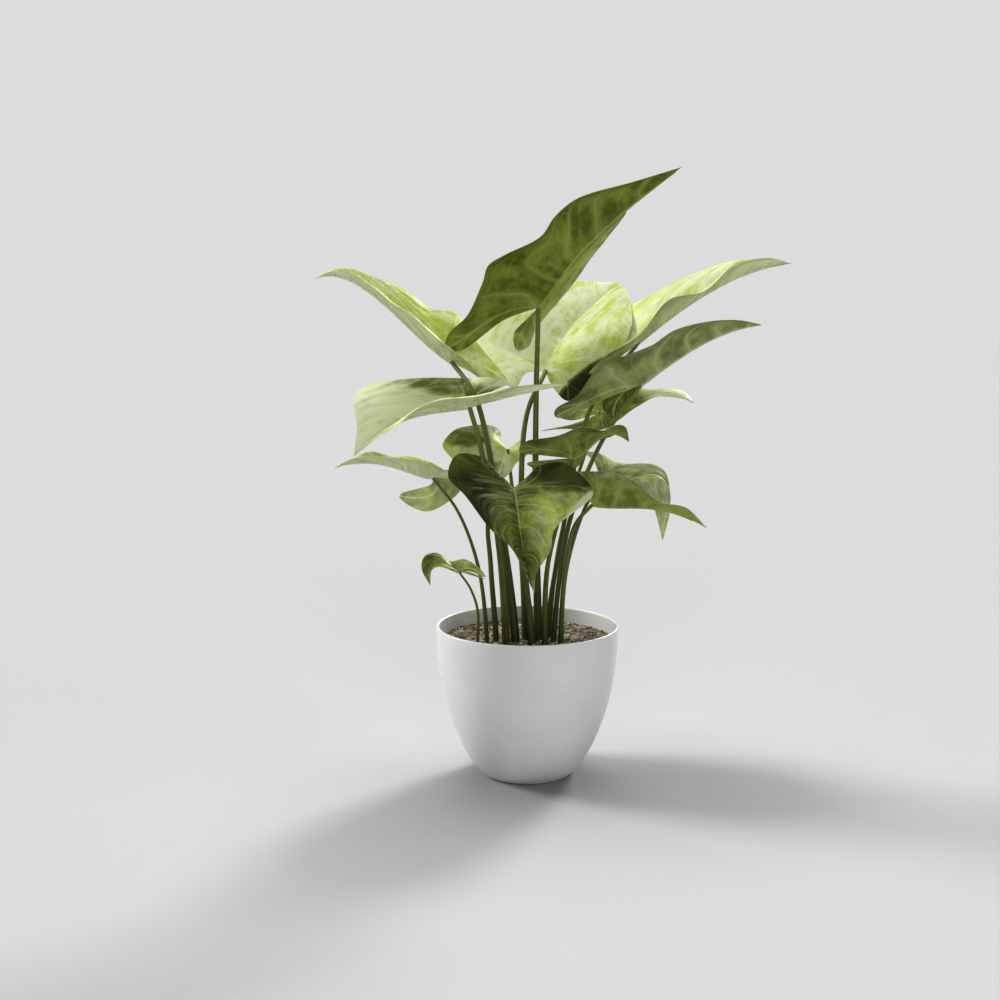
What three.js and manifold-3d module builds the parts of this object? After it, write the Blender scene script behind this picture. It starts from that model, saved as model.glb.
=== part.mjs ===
// A potted aroid house plant with arrow-shaped, variegated leaves, in a plain white pot.
//
// Units are millimetres and +Z is up. The origin is the centre of the pot's flat underside, and the
// plant is looked at along +Y, with +X to the right. The pot, the soil, each leaf stalk (petiole) and
// each leaf blade are solids of their own. The stalks stand in plain holes in the soil.
//
// A blade is two halves that share a midrib. Each half is a net of straight rows from its inner edge to
// its margin, puffed up a little between them. Beside the midrib the inner edge is the midrib itself. In
// the basal lobe, behind the stalk, it is the edge of the notch between the two lobes.

import * as THREE from 'three';
import { mergeVertices } from 'three/addons/utils/BufferGeometryUtils.js';
import Module from 'manifold-3d';

const wasm = await Module();
wasm.setup();

// Pot sizes
const POT_HEIGHT = 150;
const POT_RIM_RADIUS = 90;
const POT_BASE_RADIUS = 43; // the flat disc that the pot stands on
const POT_WALL = 3;
const POT_FLOOR = 5;
const POT_SWELL = 2.1; // the two powers of the wall's outline: full below the rim,
const POT_TUCK = 0.75; // and drawn in to the base with a rounded foot
const SIDES = 40; // facets round the pot and the soil
const WALL_STEPS = 11; // up the outside of the pot
const INSIDE_STEPS = 7; // up its inside, and up the soil against it
const LIP_STEPS = 4;

// Soil sizes
const SOIL_LEVEL = 134;
const SOIL_RELIEF = 1.6; // how far the crumbly surface lies above or below its level
const SOIL_RINGS = 7;

// Gaps and depths that the pieces share
const CLEARANCE = 0.3;
const FOOT_DEPTH = 22; // how deep a stalk stands in its hole
const FOOT_RISE = 3; // the stalk is still upright this far above the soil

// Stalk mesh
const STALK_SIDES = 8;
const STALK_STEPS = 11;

// Blade mesh and thickness
const BLADE_THICKNESS = 0.9;
const RIB_DEPTH = 2.2; // the midrib's ridge under the blade at the stalk
const RIB_END = 0.5; // and its share that is left at the tip
const COLUMNS = [0, 0.07, 0.38, 0.72, 1]; // shares of the way from the inner edge to the margin
const PUFF = 0.07; // how high the middle of a half stands, as a share of its breadth

// Rows of a blade's net, in the lobe and beside the midrib
const LOBE_ROWS = 4;
const BLADE_ROWS = 10;

// The leaves, as points of their curves. midrib: at the stalk, at one third, at two thirds, at the tip.
// left and right are the halves as seen from the stalk, looking to the tip with the upper side up:
//   lobe   from the edge of the notch, round the lobe's end, to its outer side; the middle one is the end
//   edge   the margin from beside the stalk to the tip, which isn't repeated
// wave: height, number and start angle of the small waves in the margin. foot: where the stalk enters
// the soil. way: two points that it passes. stalk: its radius at the soil and at the blade.
const LEAVES = {
  top: {
    midrib: [[10, 0, 461], [35, -18, 496], [67, -40, 531], [137, -60, 587]],
    left: {
      lobe: [[-1, 6, 450], [-13, 12, 437], [-11, 13, 421], [0, 18, 423], [7, 30, 438]],
      edge: [
        [18, 48, 449], [41, 34, 478], [61, 14, 511], [75, -2, 529],
        [92, -16, 548], [92, -28, 558], [112, -46, 571],
      ],
    },
    right: {
      lobe: [[-24, 4, 449], [-62, 8, 421], [-79, 9, 423], [-76, 8, 437], [-58, 4, 454]],
      edge: [
        [-44, -12, 483], [-38, -22, 501], [-22, -30, 511], [10, -42, 525],
        [25, -46, 545], [48, -50, 562], [96, -60, 575],
      ],
    },
    wave: [2, 2.2, 3.6],
    foot: [11, -3], way: [[8, -2, 255], [8, 0, 372]], stalk: [4.4, 2.3],
  },
  upper_left: {
    midrib: [[-74, 20, 408], [-115, 16, 442], [-161, 13, 481], [-207, 20, 489]],
    left: {
      lobe: [[-61, 34, 402], [-32, 43, 379], [-58, 21, 406]],
      edge: [[-82, -25, 431], [-105, -33, 449], [-125, -21, 462], [-146, -7, 481], [-181, 9, 497]],
    },
    right: {
      lobe: [[-45, 38, 393], [-20, 46, 388], [-43, 55, 418]],
      edge: [[-69, 60, 454], [-97, 50, 459], [-118, 37, 478], [-141, 29, 488], [-181, 20, 499]],
    },
    foot: [-12, -6], way: [[-23, -5, 231], [-50, -13, 375]], stalk: [4.7, 2.2],
  },
  back: {
    midrib: [[19, 56, 398], [40, 80, 434], [65, 110, 459], [99, 150, 487]],
    left: {
      lobe: [[-1, 54, 396], [-13, 52, 381], [-37, 72, 398]],
      edge: [[-59, 104, 430], [-50, 124, 457], [-30, 139, 476], [-1, 157, 486], [42, 162, 489]],
    },
    right: {
      lobe: [[25, 47, 384], [41, 40, 369], [65, 50, 381]],
      edge: [[94, 58, 418], [106, 70, 440], [108, 88, 457], [108, 117, 471], [105, 140, 481]],
    },
    foot: [4, -16], way: [[-5, -12, 232], [-2, 8, 352]], stalk: [4.0, 2.2],
  },
  left: {
    midrib: [[-56, -22, 367], [-101, -34, 361], [-130, -45, 350], [-164, -60, 324]],
    left: {
      lobe: [[-16, -40, 378], [33, -42, 390], [-6, -48, 388]],
      edge: [[-45, -75, 383], [-79, -76, 377], [-107, -65, 365], [-128, -58, 351], [-150, -59, 335]],
    },
    right: {
      lobe: [[-37, 14, 379], [-19, 20, 388], [-39, 15, 394]],
      edge: [[-69, 23, 393], [-116, 5, 391], [-154, -14, 388], [-165, -34, 376], [-161, -51, 350]],
    },
    foot: [-21, -14], way: [[-28, -18, 233], [-46, -24, 331]], stalk: [4.4, 2.2],
  },
  upper_right: {
    midrib: [[112, 58, 426], [155, 60, 459], [207, 64, 489], [266, 70, 505]],
    left: {
      lobe: [[96, 78, 422], [79, 95, 418], [85, 103, 438]],
      edge: [[106, 108, 463], [137, 90, 478], [166, 84, 493], [193, 81, 505], [227, 73, 509]],
    },
    right: {
      lobe: [[85, 32, 408], [60, 12, 397], [80, 12, 418]],
      edge: [[110, 6, 438], [138, 14, 467], [172, 31, 478], [202, 44, 501], [241, 61, 510]],
    },
    foot: [19, 4], way: [[35, 8, 243], [64, 24, 366]], stalk: [2.7, 1.9],
  },
  right: {
    midrib: [[110, 10, 386], [143, 2, 411], [180, -8, 433], [222, -15, 445]],
    left: {
      lobe: [[99, 18, 373], [85, 26, 355], [75, 28, 369]],
      edge: [[100, 40, 400], [136, 40, 419], [162, 30, 432], [185, 15, 439], [206, 2, 443]],
    },
    right: {
      lobe: [[74, 10, 372], [42, 8, 357], [28, 7, 355], [28, 2, 364], [47, -4, 378]],
      edge: [
        [68, -20, 408], [94, -25, 415], [115, -25, 425],
        [137, -28, 441], [168, -27, 447], [199, -20, 449],
      ],
    },
    foot: [26, -6], way: [[41, -4, 253], [73, 2, 333]], stalk: [2.7, 2.0],
  },
  inner_left: {
    midrib: [[-19, 30, 321], [-25, 22, 307], [-31, 14, 294], [-39, 4, 280]],
    left: {
      lobe: [[-15, 34, 324], [-6, 28, 331], [1, 24, 318]],
      edge: [[-11, 26, 308], [-16, 22, 300], [-23, 18, 294], [-29, 14, 288], [-34, 9, 284]],
    },
    right: {
      lobe: [[-26, 50, 326], [-28, 69, 337], [-46, 56, 344]],
      edge: [[-69, 37, 342], [-84, 23, 326], [-74, 15, 314], [-63, 0, 303], [-51, -12, 292]],
    },
    foot: [-2, 2], way: [[-6, 6, 214], [-15, 18, 285]], stalk: [3.6, 1.6],
  },
  lower_left: {
    midrib: [[-92, -20, 299], [-117, -15, 305], [-148, -10, 312], [-188, -5, 307]],
    left: {
      lobe: [[-81, -26, 299], [-67, -24, 299], [-73, -32, 307]],
      edge: [[-83, -34, 309], [-103, -43, 317], [-122, -30, 318], [-145, -20, 320], [-168, -11, 317]],
    },
    right: {
      lobe: [[-95, -14, 291], [-125, -10, 280], [-97, -6, 264]],
      edge: [[-65, -2, 286], [-90, 2, 308], [-117, 5, 318], [-133, 2, 317], [-156, -3, 322]],
    },
    wave: [1, 2.5, 0],
    foot: [-40, -6], way: [[-48, -8, 208], [-68, -22, 267]], stalk: [2.4, 1.3],
  },
  front: {
    midrib: [[-14, -60, 294], [-10, -80, 269], [-5, -92, 236], [5, -90, 200]],
    left: {
      lobe: [[-1, -39, 302], [11, -25, 310], [35, -42, 314]],
      edge: [[61, -51, 291], [43, -74, 274], [23, -96, 260], [18, -101, 241], [7, -102, 222]],
    },
    right: {
      lobe: [[-27, -54, 306], [-44, -46, 321], [-68, -50, 324]],
      edge: [[-74, -80, 307], [-59, -102, 291], [-40, -108, 270], [-26, -110, 255], [-12, -102, 236]],
    },
    foot: [-31, -4], way: [[-36, -8, 210], [-37, -30, 264]], stalk: [3.2, 1.8],
  },
  small: {
    midrib: [[-67, -25, 208], [-79, -25, 214], [-92, -28, 216], [-94, -35, 196]],
    left: {
      lobe: [[-59, -30, 207], [-42, -32, 202], [-56, -38, 209]],
      edge: [[-67, -30, 208], [-78, -39, 214], [-86, -38, 215], [-93, -33, 210], [-95, -32, 202]],
    },
    right: {
      lobe: [[-55, -25, 208], [-41, -24, 202], [-49, -20, 212]],
      edge: [[-62, -12, 218], [-76, -14, 216], [-88, -19, 225], [-100, -27, 223], [-102, -33, 211]],
    },
    wave: [0.5, 2, 0],
    foot: [-49, -8], way: [[-49, -12, 167], [-56, -18, 190]], stalk: [1.7, 1.0],
  },
  lower_right: {
    midrib: [[62, -22, 273], [96, -30, 272], [129, -38, 270], [169, -45, 254]],
    left: {
      lobe: [[64, -14, 284], [66, -10, 293], [74, -8, 295]],
      edge: [[86, -4, 293], [98, -6, 288], [115, -11, 282], [130, -26, 273], [148, -38, 269]],
    },
    right: {
      lobe: [[53, -30, 287], [44, -34, 303], [54, -34, 307]],
      edge: [[65, -50, 309], [84, -51, 305], [104, -54, 298], [126, -51, 279], [151, -46, 272]],
    },
    foot: [33, -10], way: [[37, -11, 209], [46, -18, 253]], stalk: [2.9, 1.7],
  },
  inner_right: {
    midrib: [[43, -24, 318], [59, -34, 331], [74, -44, 343], [94, -52, 337]],
    left: {
      lobe: [[24, -18, 316], [-1, -14, 312], [19, -12, 303]],
      edge: [[45, -14, 309], [59, -20, 326], [70, -28, 336], [80, -36, 343], [89, -44, 346]],
    },
    right: {
      lobe: [[16, -26, 321], [-8, -24, 324], [0, -30, 336]],
      edge: [[29, -46, 343], [49, -54, 349], [68, -58, 349], [79, -58, 352], [90, -56, 350]],
    },
    foot: [17, -17], way: [[19, -16, 208], [33, -20, 272]], stalk: [3.2, 1.7],
  },
  back_right: {
    midrib: [[74, 52, 356], [108, 52, 371], [139, 56, 375], [170, 60, 365]],
    left: {
      lobe: [[47, 72, 347], [34, 74, 353], [61, 83, 369]],
      edge: [[87, 90, 377], [111, 87, 378], [127, 83, 376], [144, 80, 379], [161, 75, 375]],
    },
    right: {
      lobe: [[49, 50, 345], [14, 48, 338], [43, 44, 341]],
      edge: [[76, 32, 342], [92, 37, 349], [110, 46, 363], [132, 55, 372], [160, 66, 371]],
    },
    foot: [22, 14], way: [[33, 20, 231], [58, 40, 315]], stalk: [2.6, 1.6],
  },
  hooked_right: {
    midrib: [[73, 30, 292], [104, 25, 293], [134, 20, 290], [134, 10, 233]],
    left: {
      lobe: [[68, 41, 307], [59, 52, 316], [74, 54, 314]],
      edge: [[95, 60, 306], [117, 51, 304], [137, 40, 299], [144, 30, 282], [140, 17, 259]],
    },
    right: {
      lobe: [[65, 24, 289], [62, 20, 280], [74, 14, 276]],
      edge: [[86, -3, 278], [104, -2, 281], [118, 4, 280], [124, 5, 266], [129, 9, 251]],
    },
    foot: [34, 6], way: [[39, 12, 202], [55, 24, 256]], stalk: [2.5, 1.6],
  },
};

const PLAIN_WAVE = [2, 2.5, 0];

// Small helpers

const vector = (triple) => new THREE.Vector3(...triple);

// The point at x on a smooth curve through points, where x counts the points from 0.
function along(points, x) {
  const last = points.length - 1;
  const i = Math.min(Math.floor(x), last - 1);
  const f = x - i;
  const at = (k) => points[Math.min(Math.max(k, 0), last)];
  const [a, b, c, d] = [at(i - 1), at(i), at(i + 1), at(i + 2)];
  return b.map((_, n) => 0.5 * (2 * b[n] + (c[n] - a[n]) * f
    + (2 * a[n] - 5 * b[n] + 4 * c[n] - d[n]) * f ** 2
    + (3 * b[n] - a[n] - 3 * c[n] + d[n]) * f ** 3));
}

// The cubic that passes through four points at 0, 1/3, 2/3 and 1.
function cubicThrough(points) {
  const [a, b, c, d] = points.map(vector);
  const mix = (...w) => new THREE.Vector3()
    .addScaledVector(a, w[0]).addScaledVector(b, w[1]).addScaledVector(c, w[2]).addScaledVector(d, w[3]);
  const first = mix(-5 / 6, 18 / 6, -9 / 6, 2 / 6);
  const second = mix(2 / 6, -9 / 6, 18 / 6, -5 / 6);
  return new THREE.CubicBezierCurve3(a, first, second, d);
}

// A mesh from a list of points and triangles, with like points merged and empty triangles dropped.
function shell(points, triangles) {
  const raw = new THREE.BufferGeometry().setFromPoints(points);
  raw.setIndex(triangles.flat());
  const merged = mergeVertices(raw, 1e-3);
  const index = merged.index.array;
  const kept = [];
  for (let i = 0; i < index.length; i += 3) {
    const [a, b, c] = [index[i], index[i + 1], index[i + 2]];
    if (a !== b && b !== c && a !== c) kept.push(a, b, c);
  }
  merged.setIndex(kept);
  return merged;
}

function toSolid(geometry) {
  const bare = geometry.clone();
  bare.deleteAttribute('normal');
  bare.deleteAttribute('uv');
  const merged = mergeVertices(bare, 1e-4);
  return new wasm.Manifold(new wasm.Mesh({
    numProp: 3,
    vertProperties: merged.attributes.position.array,
    triVerts: new Uint32Array(merged.index.array),
  }));
}

function fromSolid(solid) {
  const mesh = solid.getMesh();
  return new THREE.BufferGeometry()
    .setAttribute('position', new THREE.BufferAttribute(mesh.vertProperties, 3))
    .setIndex(new THREE.BufferAttribute(mesh.triVerts, 1));
}

// What is left when the cutters are taken out of a geometry. Only the largest body is kept.
function cut(geometry, cutters) {
  const left = cutters.reduce((solid, cutter) => solid.subtract(toSolid(cutter)), toSolid(geometry));
  const bodies = left.decompose().sort((a, b) => b.volume() - a.volume());
  return fromSolid(bodies[0]);
}

// Pot

// Outer radius of the pot at a height: swelling quickly out of its foot, then nearly upright.
function potRadius(z) {
  const rise = 1 - (1 - z / POT_HEIGHT) ** POT_SWELL;
  return POT_BASE_RADIUS + (POT_RIM_RADIUS - POT_BASE_RADIUS) * rise ** POT_TUCK;
}

// Heights that crowd together at the foot, where the wall turns most.
const potHeights = (from, to, steps) =>
  Array.from({ length: steps + 1 }, (_, i) => from + (to - from) * (i / steps) ** 1.7);

// Heights inside the pot from its floor to the soil's edge. The soil has its rings at the same heights.
const insideHeights = () => potHeights(POT_FLOOR, SOIL_LEVEL - 2 * SOIL_RELIEF, INSIDE_STEPS);

function potGeometry() {
  const lip = POT_WALL / 2;
  const outer = potHeights(0, POT_HEIGHT - lip, WALL_STEPS).map((z) => [potRadius(z), z]);
  const inner = [...insideHeights(), POT_HEIGHT - lip].map((z) => [potRadius(z) - POT_WALL, z]);
  const lipCentre = [potRadius(POT_HEIGHT - lip) - lip, POT_HEIGHT - lip];
  const rounded = [];
  for (let i = 1; i < LIP_STEPS; i++) {
    const angle = Math.PI * i / LIP_STEPS;
    rounded.push([lipCentre[0] + lip * Math.cos(angle), lipCentre[1] + lip * Math.sin(angle)]);
  }
  const outline = [[0, 0], ...outer, ...rounded, ...inner.reverse(), [0, POT_FLOOR]];
  const lathe = new THREE.LatheGeometry(outline.map(([r, z]) => new THREE.Vector2(r, z)), SIDES);
  return lathe.rotateX(Math.PI / 2);
}

// Soil

// Low crumbs on the surface: a few sine waves of unlike length and direction.
function soilHeight(x, y) {
  const crumbs = Math.sin(0.31 * x + 0.17 * y + 1) * Math.sin(0.23 * y - 0.12 * x)
    + 0.6 * Math.sin(0.52 * x - 0.41 * y + 2) + 0.4 * Math.sin(0.71 * y + 0.66 * x);
  return SOIL_LEVEL + SOIL_RELIEF * crumbs / 2;
}

function soilGeometry() {
  const points = [];
  const triangles = [];
  const top = potRadius(SOIL_LEVEL) - POT_WALL - CLEARANCE;
  const ring = (radius, height) => {
    for (let i = 0; i < SIDES; i++) {
      const angle = 2 * Math.PI * i / SIDES;
      const [x, y] = [radius * Math.cos(angle), radius * Math.sin(angle)];
      points.push(new THREE.Vector3(x, y, height(x, y)));
    }
  };
  points.push(new THREE.Vector3(0, 0, soilHeight(0, 0)));
  for (let k = 1; k <= SOIL_RINGS; k++) ring(top * k / SOIL_RINGS, soilHeight);
  const sides = insideHeights().reverse();
  sides.forEach((z) => ring(potRadius(z) - POT_WALL - CLEARANCE, () => Math.max(z, POT_FLOOR + CLEARANCE)));
  const rings = SOIL_RINGS + sides.length;
  points.push(new THREE.Vector3(0, 0, POT_FLOOR + CLEARANCE));
  const bottom = points.length - 1;
  for (let i = 0; i < SIDES; i++) {
    const next = (i + 1) % SIDES;
    triangles.push([0, 1 + i, 1 + next]);
    for (let k = 0; k < rings - 1; k++) {
      const [a, b] = [1 + k * SIDES, 1 + (k + 1) * SIDES];
      triangles.push([a + i, b + i, b + next], [a + i, b + next, a + next]);
    }
    const last = 1 + (rings - 1) * SIDES;
    triangles.push([last + i, bottom, last + next]);
  }
  return shell(points, triangles);
}

// Stalks

// A stalk's path: upright in the soil, past its two way points and up to the blade.
function stalkPath(leaf, lower = 0) {
  const [x, y] = leaf.foot;
  return new THREE.CatmullRomCurve3([
    new THREE.Vector3(x, y, SOIL_LEVEL - FOOT_DEPTH - lower),
    new THREE.Vector3(x, y, SOIL_LEVEL + FOOT_RISE),
    ...leaf.way.map(vector),
    vector(leaf.midrib[0]),
  ], false, 'centripetal');
}

// A round tube along a path, thick at its foot and slender at its top, and fatter by extra.
function stalkGeometry(leaf, path, extra = 0) {
  const frames = path.computeFrenetFrames(STALK_STEPS);
  const points = [];
  const triangles = [];
  for (let i = 0; i <= STALK_STEPS; i++) {
    const t = i / STALK_STEPS;
    // The sheathed foot is thicker than an even taper would make it
    const radius = leaf.stalk[1] + (leaf.stalk[0] - leaf.stalk[1]) * (1 - t) ** 1.5 + extra;
    const centre = path.getPointAt(t);
    for (let k = 0; k < STALK_SIDES; k++) {
      const angle = 2 * Math.PI * k / STALK_SIDES;
      points.push(centre.clone()
        .addScaledVector(frames.normals[i], radius * Math.cos(angle))
        .addScaledVector(frames.binormals[i], radius * Math.sin(angle)));
    }
  }
  for (let k = 0; k < STALK_SIDES; k++) {
    const next = (k + 1) % STALK_SIDES;
    for (let i = 0; i < STALK_STEPS; i++) {
      const [a, b] = [i * STALK_SIDES, (i + 1) * STALK_SIDES];
      triangles.push([a + k, a + next, b + next], [a + k, b + next, b + k]);
    }
    const top = STALK_STEPS * STALK_SIDES;
    if (k > 0 && next > 0) triangles.push([0, next, k], [top, top + k, top + next]);
  }
  return shell(points, triangles);
}

// Blades

const MIDDLE_COLUMN = 2;

const direction = (from, to) => to.clone().sub(from).normalize();

// The middle surface of one half, as rows of points. phase is where the margin's waves start.
function halfSurface(leaf, half, hand, phase) {
  const midrib = cubicThrough(leaf.midrib);
  const stalk = leaf.midrib[0];
  const outline = [stalk, ...half.lobe, ...half.edge, leaf.midrib[3]];
  const end = (half.lobe.length + 1) / 2; // the lobe's end in the outline
  const shoulder = 2 * end; // and the point beside the stalk
  const edges = [];
  for (let i = 0; i <= LOBE_ROWS; i++) {
    const back = end * i / LOBE_ROWS;
    edges.push([along(outline, end - back), along(outline, end + back)].map(vector));
  }
  for (let i = 1; i <= BLADE_ROWS; i++) {
    const t = i / BLADE_ROWS;
    const mark = shoulder + t * (outline.length - 1 - shoulder);
    edges.push([midrib.getPoint(t), vector(along(outline, mark))]);
  }
  const middles = edges.map(([inner, outer]) => inner.clone().add(outer).multiplyScalar(0.5));
  const last = edges.length - 1;
  const [height, number] = leaf.wave;
  return edges.map(([inner, outer], i) => {
    const across = outer.clone().sub(inner);
    const forward = middles[Math.min(i + 1, last)].clone().sub(middles[Math.max(i - 1, 0)]);
    const up = across.clone().cross(forward).multiplyScalar(hand).normalize();
    const u = i / last;
    // The margin is calm at the lobe's end and at the tip, where all columns meet
    const calm = Math.min(1, 5 * u, 3 * (1 - u));
    const wave = height * calm * Math.sin(2 * Math.PI * number * u + phase);
    const puff = 4 * PUFF * across.length();
    return COLUMNS.map((v) => inner.clone().addScaledVector(across, v)
      .addScaledVector(up, puff * v * (1 - v) + wave * v * v));
  });
}

// Unit normals of a surface, on the upper side.
function surfaceNormals(rows, hand) {
  const last = [rows.length - 1, rows[0].length - 1];
  const pick = (i, j) => rows[Math.min(Math.max(i, 0), last[0])][Math.min(Math.max(j, 0), last[1])];
  return rows.map((row, i) => row.map((_, j) => {
    // The first and last rows are single points, so they take the normal of the row beside them
    const k = Math.min(Math.max(i, 1), last[0] - 1);
    const lengthwise = pick(k + 1, j).clone().sub(pick(k - 1, j));
    const sideways = pick(k, j + 1).clone().sub(pick(k, j - 1)).multiplyScalar(hand);
    return sideways.cross(lengthwise).normalize();
  }));
}

// A blade: both halves, thickened, with the midrib's ridge below. extra widens it all round for a cutter.
function bladeGeometry(leaf, extra = 0) {
  const halves = [[leaf.left, -1], [leaf.right, 1]].map(([half, hand]) => {
    const rows = halfSurface(leaf, half, hand, leaf.wave[2] + (hand > 0 ? 1.3 : 0));
    return { rows, hand, normals: surfaceNormals(rows, hand) };
  });
  // On the midrib both halves share one normal
  const shared = halves[0].normals.map((row, i) => row[0].clone().add(halves[1].normals[i][0]).normalize());
  const points = [];
  const triangles = [];
  halves.forEach(({ rows, hand, normals }) => {
    const base = points.length;
    const columns = COLUMNS.length;
    const at = (i, j, lower) => base + 2 * (i * columns + j) + lower;
    rows.forEach((row, i) => row.forEach((point, j) => {
      // The margin and the notch's edge move outward by extra
      if (j === columns - 1) point.addScaledVector(direction(row[0], point), extra);
      if (j === 0 && i < LOBE_ROWS) point.addScaledVector(direction(row[1], point), extra);
      const t = Math.max(0, (i - LOBE_ROWS) / BLADE_ROWS);
      const atTip = i === rows.length - 1;
      const onMidrib = j === 0 && i >= LOBE_ROWS;
      const own = i === 0 ? normals[0][MIDDLE_COLUMN] : normals[i][j];
      const normal = onMidrib || atTip ? shared[i] : own;
      const ridge = onMidrib && !atTip ? RIB_DEPTH * (1 - (1 - RIB_END) * t) : 0;
      const thin = atTip ? 0.5 : 1;
      points.push(point.clone().addScaledVector(normal, thin * BLADE_THICKNESS / 2 + extra));
      points.push(point.clone().addScaledVector(normal, -thin * (BLADE_THICKNESS / 2 + ridge) - extra));
    }));
    const face = (a, b, c) => triangles.push(hand > 0 ? [a, c, b] : [a, b, c]);
    const quad = (a, b, c, d) => {
      face(a, b, c);
      face(a, c, d);
    };
    for (let i = 0; i < rows.length - 1; i++) {
      for (let j = 0; j < columns - 1; j++) {
        quad(at(i, j, 0), at(i + 1, j, 0), at(i + 1, j + 1, 0), at(i, j + 1, 0));
        quad(at(i, j, 1), at(i, j + 1, 1), at(i + 1, j + 1, 1), at(i + 1, j, 1));
      }
      const edge = columns - 1;
      quad(at(i, edge, 0), at(i + 1, edge, 0), at(i + 1, edge, 1), at(i, edge, 1));
      if (i < LOBE_ROWS) quad(at(i, 0, 0), at(i, 0, 1), at(i + 1, 0, 1), at(i + 1, 0, 0));
    }
  });
  return shell(points, triangles);
}

// Assembly

const finish = (colour, roughness) => (
  new THREE.MeshStandardMaterial({ color: colour, roughness, metalness: 0 })
);
const POT_FINISH = finish(0xe9e9e7, 0.35);
const SOIL_FINISH = finish(0x6f6353, 0.95);
const STALK_FINISH = finish(0x5d7334, 0.5);
const BLADE_FINISH = finish(0x86a04a, 0.45);

const plant = new THREE.Group();

function addPiece(name, geometry, material) {
  geometry.computeVertexNormals();
  const mesh = new THREE.Mesh(geometry, material);
  mesh.name = name;
  plant.add(mesh);
}

const leaves = Object.entries(LEAVES).map(([name, leaf]) => [name, { wave: PLAIN_WAVE, ...leaf }]);

addPiece('pot', potGeometry(), POT_FINISH);
const holes = leaves.map(([, leaf]) => stalkGeometry(leaf, stalkPath(leaf, CLEARANCE), CLEARANCE));
addPiece('soil', cut(soilGeometry(), holes), SOIL_FINISH);
for (const [name, leaf] of leaves) {
  const stalk = stalkGeometry(leaf, stalkPath(leaf));
  addPiece(`stalk_${name}`, cut(stalk, [bladeGeometry(leaf, CLEARANCE)]), STALK_FINISH);
  addPiece(`blade_${name}`, bladeGeometry(leaf), BLADE_FINISH);
}

export default plant;
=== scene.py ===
"""The looks of a potted aroid house plant with arrow-shaped, variegated leaves.

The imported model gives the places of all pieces. Each leaf blade, leaf stalk, the soil and the pot are
replaced by a finer piece of the same form, made from the same measured points as the part's source.
Points are in millimetres, with +Z up and the plant looked at along +Y. Blender objects are in metres.
"""

import math

import bpy
import numpy as np
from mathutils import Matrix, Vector, noise


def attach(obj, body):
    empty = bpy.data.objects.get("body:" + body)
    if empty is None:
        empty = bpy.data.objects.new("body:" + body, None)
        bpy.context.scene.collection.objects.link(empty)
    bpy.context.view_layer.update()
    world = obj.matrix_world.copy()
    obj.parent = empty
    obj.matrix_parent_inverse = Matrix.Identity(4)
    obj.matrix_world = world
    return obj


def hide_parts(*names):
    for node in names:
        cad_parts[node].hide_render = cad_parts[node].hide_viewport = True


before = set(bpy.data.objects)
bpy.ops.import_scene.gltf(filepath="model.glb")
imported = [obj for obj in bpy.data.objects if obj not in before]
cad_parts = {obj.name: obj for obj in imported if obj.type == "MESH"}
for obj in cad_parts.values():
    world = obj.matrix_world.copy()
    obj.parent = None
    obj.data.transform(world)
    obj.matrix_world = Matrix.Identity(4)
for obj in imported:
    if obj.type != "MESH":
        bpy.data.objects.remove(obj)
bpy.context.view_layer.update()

MM = 0.001

# Pot and soil in mm, as in the part's source
POT_HEIGHT = 150
POT_RIM_RADIUS = 90
POT_BASE_RADIUS = 43
POT_WALL = 3
POT_FLOOR = 5
POT_SWELL = 2.1
POT_TUCK = 0.75
SOIL_LEVEL = 134
SOIL_RELIEF = 1.6
CLEARANCE = 0.3
FOOT_DEPTH = 22
FOOT_RISE = 3

# Blade net, as in the part's source
LOBE_ROWS = 4
BLADE_ROWS = 10
PUFF = 0.07
PLAIN_WAVE = [2, 2.5, 0]  # height in mm, number and phase of a margin's waves
RIGHT_WAVE_LAG = 1.3  # how far the right margin's waves lag behind the left one's, in radians

# Finer blade, in mm
CELL = 1.7  # the size of a face
BLADE_COLUMNS = 34  # faces from the midrib to the margin
THICKNESS = 0.6
MARGIN_THICKNESS = 0.34
RIB_DEPTH = 1.9  # the midrib's ridge under the blade
RIB_WIDTH = 1.25
RIB_GROOVE = 0.5  # and its groove on top
QUILT = 0.55  # how far the blade swells between two lateral veins
VEINS = 4.6  # lateral veins on each side of the midrib
LOBE_VEINS = 2.2
LOBE_RIB = 0.45  # where the lobe's own rib ends, from its inner edge at 0 to its margin at 1
VEIN_BEND = 0.06  # how far each lateral vein runs ahead near the midrib
VEIN_HOOK = 0.3  # and how much more near the margin
RIPPLES = 4  # small folds between two lateral veins
LOOKS = ("dark", "cream", "pale")

# Finer stalks, pot and soil, in mm
STALK_STEPS = 70
STALK_SIDES = 20
POT_SIDES = 160
POT_FOOT_BEND = 1.2
SOIL_RINGS = 70
SOIL_SIDES = 200
CHIP_LIFT = 0.6  # room for the finer crumbs under a loose bit

# Leaf colours: the upper side, the underside, and the light that comes through
LIME = (0.73, 0.79, 0.31)
DEEP_LIME = (0.6, 0.67, 0.18)
CREAM = (0.91, 0.93, 0.73)
MID_GREEN = (0.38, 0.43, 0.13)
DARK_GREEN = (0.14, 0.18, 0.04)
# near-black green for painted deep shade
PAINTED_SHADE_GREEN = (0.07, 0.09, 0.02)
# a painted highlight: pale streaks for the gloss on dark glossy zones
PAINTED_HIGHLIGHT = (0.6, 0.63, 0.47)
UNDER_GREEN = (0.31, 0.365, 0.075)
UNDER_SPOT = (0.18, 0.225, 0.025)
UNDER_PALE = (0.9, 0.91, 0.79)
UNDER_GRAY = (0.72, 0.74, 0.61)
UNDER_LIME = (0.42, 0.49, 0.11)
UNDER_BRIGHT = (0.68, 0.71, 0.34)
UNDER_VEIN = (0.62, 0.68, 0.28)
GLOW_LIME = (0.62, 0.74, 0.12)
GLOW_CREAM = (0.8, 0.84, 0.5)
GLOW_DARK = (0.2, 0.27, 0.03)
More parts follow.
